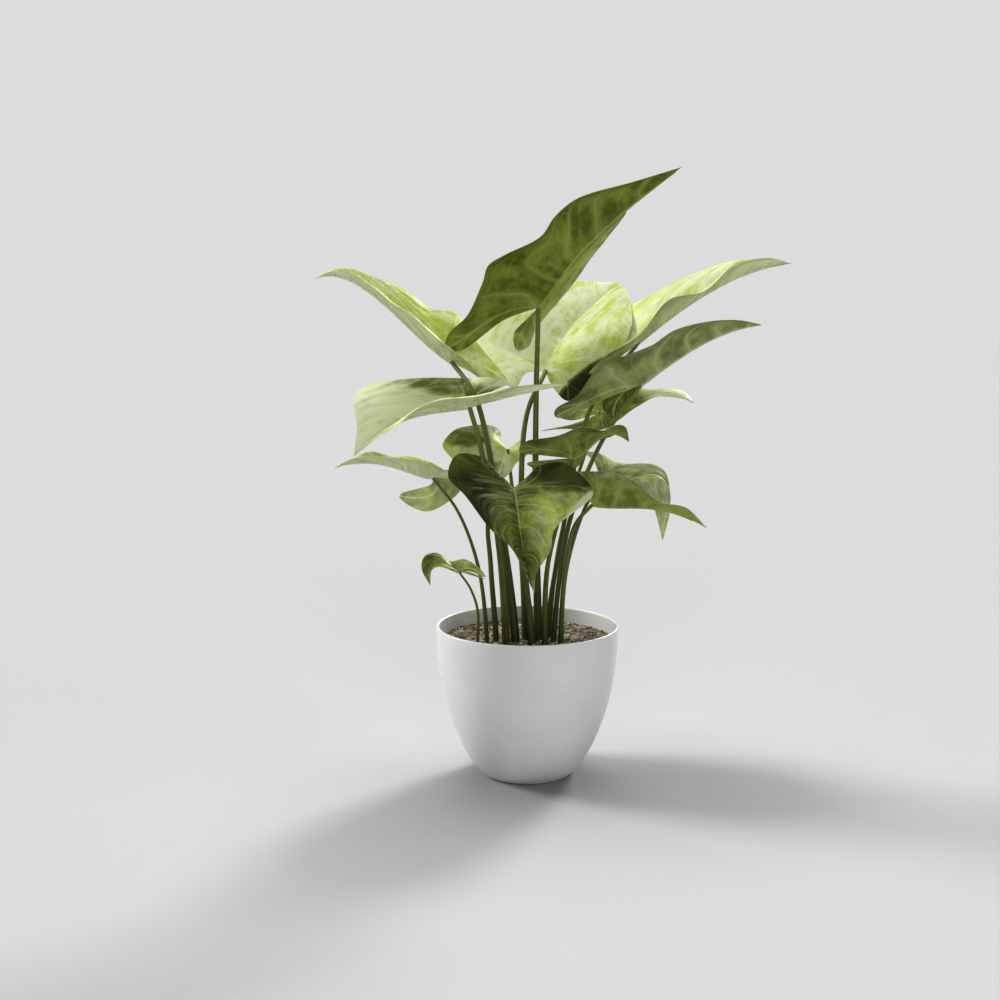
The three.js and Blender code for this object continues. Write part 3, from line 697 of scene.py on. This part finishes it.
def soil(material):
    """The soil's surface with fine crumbs, and plain sides down to the pot's floor."""
    top = pot_radius(SOIL_LEVEL) - POT_WALL - CLEARANCE
    angle = np.linspace(0, 2 * np.pi, SOIL_SIDES, endpoint=False)
    radius = top * np.linspace(0.01, 1, SOIL_RINGS)
    x = radius[:, None] * np.cos(angle)
    y = radius[:, None] * np.sin(angle)
    z = soil_height(x, y)
    for i in range(SOIL_RINGS):
        for j in range(SOIL_SIDES):
            place = Vector((x[i, j], y[i, j], 0))
            z[i, j] += 0.9 * noise.noise(place * 0.35) + 0.8 * noise.noise(place * 0.8)
            z[i, j] += 1.1 * max(0, noise.noise(place * 0.55 + Vector((7, 3, 1))) - 0.1)
    points = np.stack([x, y, z], -1).reshape(-1, 3)
    faces = grid_faces(SOIL_RINGS, SOIL_SIDES, closed=True).tolist()
    faces.append(list(range(SOIL_SIDES)))
    heights = np.linspace(SOIL_LEVEL - 2 * SOIL_RELIEF, POT_FLOOR + CLEARANCE, 12)
    for z in heights:
        reach = pot_radius(z) - POT_WALL - CLEARANCE
        ring = np.stack([reach * np.cos(angle), reach * np.sin(angle), np.full(SOIL_SIDES, z)], -1)
        points = np.vstack([points, ring])
    last_ring = (SOIL_RINGS - 1) * SOIL_SIDES
    faces += grid_faces(len(heights) + 1, SOIL_SIDES, start=last_ring, closed=True).tolist()
    faces.append(list(range(len(points) - SOIL_SIDES, len(points)))[::-1])
    return piece("potting_mix", points, faces, material, "soil", sharp=180)


def icosahedron():
    """Corners and outward faces of an icosahedron of radius 1."""
    golden = (1 + 5**0.5) / 2
    corners = unit(np.array([[0, a, b * golden] for a in (-1, 1) for b in (-1, 1)]
                            + [[a, b * golden, 0] for a in (-1, 1) for b in (-1, 1)]
                            + [[a * golden, 0, b] for a in (-1, 1) for b in (-1, 1)], float))
    longest_side = 1.2  # more than an edge, and less than a diagonal
    hull = []
    for a in range(12):
        for b in range(a + 1, 12):
            for c in range(b + 1, 12):
                pts = corners[[a, b, c]]
                sides = [np.linalg.norm(pts[i] - pts[i - 1]) for i in range(3)]
                if max(sides) < longest_side:
                    outward = np.dot(np.cross(pts[1] - pts[0], pts[2] - pts[0]), pts.sum(0)) > 0
                    hull.append([a, b, c] if outward else [a, c, b])
    return corners, hull


def turned(points, tilt, turn):
    """points tilted about X, then turned about Z."""
    cz, sz, cx, sx = math.cos(turn), math.sin(turn), math.cos(tilt), math.sin(tilt)
    about_z = np.array([[cz, -sz, 0], [sz, cz, 0], [0, 0, 1]])
    about_x = np.array([[1, 0, 0], [0, cx, -sx], [0, sx, cx]])
    return points @ about_x.T @ about_z.T


def chips(name, count, sizes, flat, material, seed):
    """Loose bits of bark or perlite on the soil, clear of the stalks and the pot's wall."""
    rng = np.random.default_rng(seed)
    corners, hull = icosahedron()
    feet = np.array([[*leaf["foot"], leaf["stalk"][0]] for leaf in LEAVES.values()])
    limit = pot_radius(SOIL_LEVEL) - POT_WALL - 4
    points, faces = [], []
    while len(faces) < count * len(hull):
        x, y = rng.uniform(-limit, limit, 2)
        size = rng.uniform(*sizes)
        gap = np.hypot(feet[:, 0] - x, feet[:, 1] - y) - feet[:, 2]
        if math.hypot(x, y) + size > limit or gap.min() < size + 0.5:
            continue
        uneven = corners * rng.uniform(0.65, 1.15, (len(corners), 1))
        shape = uneven * [size, size * rng.uniform(0.55, 1), size * flat]
        turn, tilt = rng.uniform(0, 2 * np.pi), rng.uniform(-0.4, 0.4)
        start = len(corners) * len(points)
        height = soil_height(x, y) + 0.55 * size * flat + CHIP_LIFT
        points.append(turned(shape, tilt, turn) + [x, y, height])
        faces += [[start + v for v in face] for face in hull]
    return piece(name, np.vstack(points), faces, material, None, sharp=25)


# Materials

class Nodes:
    """A material's node tree, written with short calls. Numbers and links may stand for any input."""

    def __init__(self, name):
        self.material = bpy.data.materials.new(name)
        self.material.use_nodes = True
        self.tree = self.material.node_tree
        self.tree.nodes.clear()

    def put(self, socket, value):
        if isinstance(value, bpy.types.NodeSocket):
            self.tree.links.new(value, socket)
        elif isinstance(value, tuple) and len(value) == 3 and socket.type == "RGBA":
            socket.default_value = (*value, 1)
        else:
            socket.default_value = value

    def add(self, kind, inputs, **settings):
        node = self.tree.nodes.new("ShaderNode" + kind)
        for key, value in settings.items():
            setattr(node, key, value)
        for key, value in inputs.items():
            self.put(node.inputs[key], value)
        return node

    def field(self, name):
        return self.add("Attribute", {}, attribute_name=name).outputs["Fac"]

    def math(self, operation, a, b=0.0, clamp=False):
        node = self.add("Math", {0: a, 1: b}, operation=operation, use_clamp=clamp)
        return node.outputs[0]

    def plus(self, a, b):
        return self.math("ADD", a, b)

    def minus(self, a, b, clamp=False):
        return self.math("SUBTRACT", a, b, clamp)

    def times(self, a, b, clamp=False):
        return self.math("MULTIPLY", a, b, clamp)

    def most(self, a, b):
        return self.math("MAXIMUM", a, b)

    def weighted(self, first, *rest):
        """first plus each noise field about its middle, times its weight."""
        for noise_field, weight in rest:
            first = self.plus(first, self.times(self.minus(noise_field, 0.5), weight))
        return first

    def step(self, x, low, high):
        """From 0 at low to 1 at high, smoothly."""
        node = self.add("MapRange", {0: x, 1: low, 2: high}, interpolation_type="SMOOTHSTEP")
        return node.outputs[0]

    def fade(self, x, full, gone):
        """From 1 at full to 0 at gone, smoothly."""
        return self.minus(1, self.step(x, full, gone))

    def mix(self, share, a, b, blend="MIX"):
        node = self.add("Mix", {}, data_type="RGBA", blend_type=blend)
        self.put(node.inputs[0], share)
        self.put(node.inputs[6], a)
        self.put(node.inputs[7], b)
        return node.outputs[2]

    def point(self, x, y, z):
        return self.add("CombineXYZ", {0: x, 1: y, 2: z}).outputs[0]

    def noise(self, place, scale=1.0, detail=2.0, rough=0.5):
        node = self.add("TexNoise", {"Vector": place, "Scale": scale, "Detail": detail, "Roughness": rough})
        return node.outputs["Fac"]

    def place(self):
        return self.add("TexCoord", {}).outputs["Object"]

    def bump(self, height, strength, distance):
        node = self.add("Bump", {"Height": height, "Strength": strength, "Distance": distance})
        return node.outputs[0]

    def principled(self, inputs):
        return self.add("BsdfPrincipled", inputs).outputs[0]

    def finish(self, shader):
        out = self.add("OutputMaterial", {})
        self.tree.links.new(shader, out.inputs[0])
        return self.material


def leaf_material():
    n = Nodes("leaf")
    vein, across, reach, rib, under, seed = (
        n.field(k) for k in ("vein", "across", "reach", "rib", "under", "seed"))
    dark, cream, pale = (n.field(k) for k in LOOKS)
    upper = n.minus(1, under)

    # Thin lines on the lateral veins, the midrib and the loop that joins the laterals near the margin
    bends = n.minus(n.noise(n.point(n.times(rib, 0.035), n.times(reach, 3), seed), 1.0, 0), 0.5)
    phase = n.plus(vein, n.times(bends, n.plus(0.35, n.times(under, 0.5))))
    off = n.math("ABSOLUTE", n.minus(n.math("FRACT", n.plus(phase, 0.5)), 0.5))
    halo = n.fade(off, *VEIN_HALO)
    midrib = n.fade(rib, *MIDRIB_LINE)
    inward = n.fade(across, *VEIN_END)
    lateral = n.times(n.fade(off, *VEIN_LINE), inward)
    weak = n.times(n.fade(n.minus(0.5, off), *WEAK_LINE), inward)
    off_loop = n.math("ABSOLUTE", n.minus(across, n.plus(LOOP_PLACE, n.times(off, LOOP_SWING))))
    lines = n.most(lateral, n.times(n.fade(off_loop, *LOOP_LINE), 0.6))
    lines = n.most(lines, n.times(weak, 0.4))

    # Streaks along the laterals, and patches and spots between them
    def streaks(across_veins, along_veins, detail):
        place = n.point(n.times(phase, across_veins), n.times(rib, along_veins), seed)
        return n.noise(place, 1.0, detail, 0.6)

    streak = streaks(7, 0.06, 3)
    fine = streaks(26, 0.12, 2)
    patch = streaks(1.5, 0.07, 2)
    mottle = n.noise(n.place(), 110, 4, 0.65)
    cloud = n.noise(n.place(), 38, 2, 0.5)

    # Upper side: lime with cream streaks, deep green where it is dark, partly as painted shade, and
    # near-black painted shade where a patch darkens it further
    share = n.weighted(n.times(cream, 0.6), (streak, 0.9), (patch, 1.5), (cloud, 1.2), (fine, 0.6))
    creamy = n.step(share, -0.05, 0.65)
    lime = n.mix(n.step(mottle, 0.35, 0.7), LIME, DEEP_LIME)
    top = n.mix(creamy, lime, CREAM)
    deepness = n.step(n.weighted(dark, (patch, 1.2), (cloud, 0.8), (mottle, 0.5)), 0.1, 0.95)
    top = n.mix(deepness, top, n.mix(n.step(streak, 0.25, 0.75), DARK_GREEN, MID_GREEN))
    # Painted shade: near-black where a patch darkens the blade past its darkest green
    top = n.mix(n.step(n.weighted(dark, (patch, 0.6)), 1.0, 1.7), top, PAINTED_SHADE_GREEN)
    # Painted highlight: pale streaks across dark zones stand in for the gloss on their small folds
    painted_highlight = n.times(n.step(streaks(6, 0.03, 2), 0.5, 0.66), n.step(dark, 0.8, 1.5))
    before_lobe = n.step(reach, -0.12, 0.08)
    painted_highlight = n.times(painted_highlight, n.times(n.fade(across, *PAINTED_HIGHLIGHT_END), before_lobe))
    top = n.mix(n.times(painted_highlight, 0.8), top, PAINTED_HIGHLIGHT)
    top = n.mix(n.times(lines, n.minus(0.5, n.times(dark, 0.25))), top, CREAM)
    top = n.mix(n.times(midrib, n.minus(0.85, n.times(dark, 0.45))), top, CREAM)

    # Underside: green with darker spots between the veins, lime with a gray rim, or pale gray-green, whose
    # paleness is partly a painted sheen
    spots = n.step(n.weighted(0.5, (mottle, 1.0), (patch, 0.9), (cloud, 1.4)), 0.3, 0.8)
    spots = n.times(spots, n.step(halo, 1.2, 0.1))
    limy = n.step(pale, 0.0, -1.0)
    rim = n.times(n.step(across, 0.7, 0.95), n.minus(0.6, limy))
    spots = n.times(n.most(spots, rim), n.minus(0.85, n.times(limy, 0.5)))
    limeness = n.step(n.weighted(0.5, (fine, 0.6), (cloud, -1.0)), 0.35, 0.75)
    green = n.mix(limeness, UNDER_GREEN, UNDER_LIME)
    green = n.mix(limy, green, UNDER_BRIGHT)
    green = n.mix(n.times(n.step(across, 0.6, 0.95), limy), green, UNDER_GRAY)
    green = n.mix(spots, green, UNDER_SPOT)
    faint = n.mix(n.step(streak, 0.35, 0.65), UNDER_PALE, UNDER_GRAY)
    faint = n.mix(n.times(spots, n.minus(0.75, n.times(pale, 0.7))), faint, UNDER_SPOT)
    paleness = n.times(pale, n.plus(0.75, n.times(mottle, 0.5)), clamp=True)
    below = n.mix(paleness, green, faint)
    vein_tint = n.mix(n.step(pale, 0.0, 0.5), UNDER_VEIN, UNDER_PALE)
    below = n.mix(n.times(n.most(lines, n.times(halo, 0.3)), 0.42), below, vein_tint)
    below = n.mix(n.times(midrib, 0.5), below, vein_tint)

    # Both sides, with a thin cream margin where the leaf isn't dark
    margin = n.times(n.step(across, 0.975, 1.0), n.minus(0.5, n.times(dark, 0.5), clamp=True))
    colour = n.mix(margin, n.mix(upper, below, top), CREAM)
    glow = n.mix(dark, n.mix(cream, GLOW_LIME, GLOW_CREAM), GLOW_DARK)
    glow = n.mix(0.5, colour, glow)

    # The veins are sunk on the upper side and raised below, and pale leaves are more matt
    relief = n.plus(n.times(lines, -0.6), n.times(fine, 0.5))
    normal = n.bump(n.times(relief, n.minus(upper, 0.5)), 0.5, 0.0006)
    rough = n.plus(0.36, n.times(mottle, 0.16))
    rough = n.plus(rough, n.times(n.step(pale, 0.3, 1.0), 0.2))
    shiny = n.principled({
        "Base Color": colour,
        "Roughness": rough,
        "Specular IOR Level": 0.4,
        "Normal": normal,
    })
    through_light = n.add("BsdfTranslucent", {"Color": glow, "Normal": normal}).outputs[0]
    mixed = n.add("MixShader", {0: GLOW_SHARE, 1: shiny, 2: through_light}).outputs[0]
    return n.finish(mixed)


def stalk_material():
    n = Nodes("petiole")
    around, height, seed = (n.field(k) for k in ("around", "height", "seed"))
    side, front = (n.times(n.math(wave, around), 4) for wave in ("SINE", "COSINE"))
    line = n.noise(n.point(side, front, n.plus(n.times(height, 2), seed)), 1.2, 3, 0.6)
    blotch = n.noise(n.place(), 60, 3, 0.6)
    green = n.mix(n.step(line, 0.35, 0.7), *STALK_GREEN)
    green = n.mix(n.times(n.step(blotch, 0.45, 0.75), 0.4), green, STALK_BLOTCH)
    green = n.mix(n.times(n.step(height, 0.8, 1.0), 0.5), green, STALK_TOP)
    green = n.mix(n.times(n.step(height, 0.5, 0.0), 0.95), green, STALK_FOOT)
    return n.finish(n.principled({
        "Base Color": green,
        "Roughness": n.plus(0.36, n.times(line, 0.15)),
        "Normal": n.bump(line, 0.35, 0.0005),
    }))


def pot_material():
    n = Nodes("pot_plastic")
    place = n.place()
    haze = n.noise(place, 14, 4, 0.6)
    grain = n.noise(place, 900, 2, 0.5)
    white = n.mix(n.step(haze, 0.3, 0.75), *POT_WHITE)
    return n.finish(n.principled({
        "Base Color": white,
        "Roughness": n.plus(0.27, n.times(haze, 0.12)),
        "Normal": n.bump(grain, 0.06, 0.0004),
    }))


def soil_material(name, colours, share):
    """Crumbs from the dark to the middle colour, with the pale one over share of patches and bits."""
    n = Nodes(name)
    dark, mid, pale = colours
    place = n.place()
    crumbs = n.noise(place, 240, 5, 0.7)
    patches = n.noise(place, 60, 3, 0.6)
    bits = n.step(n.noise(place, 420, 2, 0.5), 0.62, 0.68)
    colour = n.mix(n.step(crumbs, 0.3, 0.7), dark, mid)
    colour = n.mix(n.times(n.step(patches, 0.45, 0.7), share), colour, pale)
    colour = n.mix(n.times(bits, share), colour, pale)
    return n.finish(n.principled({
        "Base Color": colour,
        "Roughness": n.plus(0.82, n.times(crumbs, 0.15)),
        "Normal": n.bump(crumbs, 0.8, 0.0012),
    }))


# The plant

leaf_finish = leaf_material()
stalk_finish = stalk_material()
for seed, (name, leaf) in enumerate(LEAVES.items()):
    leaf = {"wave": PLAIN_WAVE, "seed": 7.3 * seed, **leaf}
    blade(name, leaf, leaf_finish)
    stalk(name, leaf, stalk_finish)
pot(pot_material())
soil(soil_material("soil_mix", SOIL_COLOURS, 0.7))
bark_finish = soil_material("bark", BARK_COLOURS, 0.4)
chips("bark_chips", count=260, sizes=(1.0, 2.6), flat=0.45, material=bark_finish, seed=3)
perlite_finish = soil_material("perlite_bits", PERLITE_COLOURS, 0.7)
chips("perlite", count=170, sizes=(0.8, 2.2), flat=0.7, material=perlite_finish, seed=8)


# Stage

def floor_material():
    n = Nodes("studio_floor")
    return n.finish(n.principled({
        "Base Color": FLOOR_GRAY,
        "Roughness": 0.9,
        "Specular IOR Level": 0.0,
    }))


FLOOR_SIZE = 400
bpy.ops.mesh.primitive_plane_add(size=FLOOR_SIZE)
floor = bpy.context.object
floor.name = "studio_floor"
floor.data.materials.append(floor_material())

CONTRAST = 0.62  # the photograph has deeper shadows than a plain exposure
BACKDROP = 0.812  # how bright the photograph's plain background is
SKY = 0.13  # how bright the surroundings are as a light
REFLECTED = 0.7  # the share of the bright background that glossy surfaces mirror
# Wide suns: azimuth, height in degrees, strength and width in degrees
SUNS = [
    (59, 27, 2.40, 16),
    (162, 30, 2.40, 20),
    (95, 78, 2.00, 40),
    (272, 14, 1.15, 50),
    (338, 16, 0.55, 50),
]

# The surroundings: the plain background for the camera and for reflections, and a dim light for the rest
world = bpy.data.worlds.new("studio")
bpy.context.scene.world = world
world.use_nodes = True
sky = world.node_tree
sky.nodes.clear()
seen = sky.nodes.new("ShaderNodeBackground")
seen.inputs[0].default_value = (BACKDROP, BACKDROP, BACKDROP, 1)
lighting = sky.nodes.new("ShaderNodeBackground")
lighting.inputs[0].default_value = (SKY, SKY, SKY, 1)
path = sky.nodes.new("ShaderNodeLightPath")
both = sky.nodes.new("ShaderNodeMixShader")
out = sky.nodes.new("ShaderNodeOutputWorld")
shown = sky.nodes.new("ShaderNodeMath")
shown.operation = "MULTIPLY_ADD"
shown.inputs[1].default_value = REFLECTED
sky.links.new(path.outputs["Is Glossy Ray"], shown.inputs[0])
sky.links.new(path.outputs["Is Camera Ray"], shown.inputs[2])
sky.links.new(shown.outputs[0], both.inputs[0])
sky.links.new(lighting.outputs[0], both.inputs[1])
sky.links.new(seen.outputs[0], both.inputs[2])
sky.links.new(both.outputs[0], out.inputs[0])

for number, (azimuth, elevation, strength, size) in enumerate(SUNS):
    light = bpy.data.lights.new(f"sun_{number}", "SUN")
    light.energy = strength
    light.angle = math.radians(size)
    sun = bpy.data.objects.new(f"sun_{number}", light)
    bpy.context.scene.collection.objects.link(sun)
    sun.rotation_euler = (math.radians(90 - elevation), 0, math.radians(azimuth + 90))

CAMERA_PLACE = (-0.027, -1.348, 0.4615)
CAMERA_DROP = 7.9  # how far the camera looks down, in degrees

lens = bpy.data.cameras.new("camera")
lens.lens = 50
lens.sensor_width = 36
lens.clip_end = 1000
camera = bpy.data.objects.new("camera", lens)
bpy.context.scene.collection.objects.link(camera)
camera.location = CAMERA_PLACE
camera.rotation_euler = (math.radians(90 - CAMERA_DROP), 0, 0)
bpy.context.scene.camera = camera
bpy.context.scene.view_settings.view_transform = "Standard"
bpy.context.scene.view_settings.gamma = CONTRAST
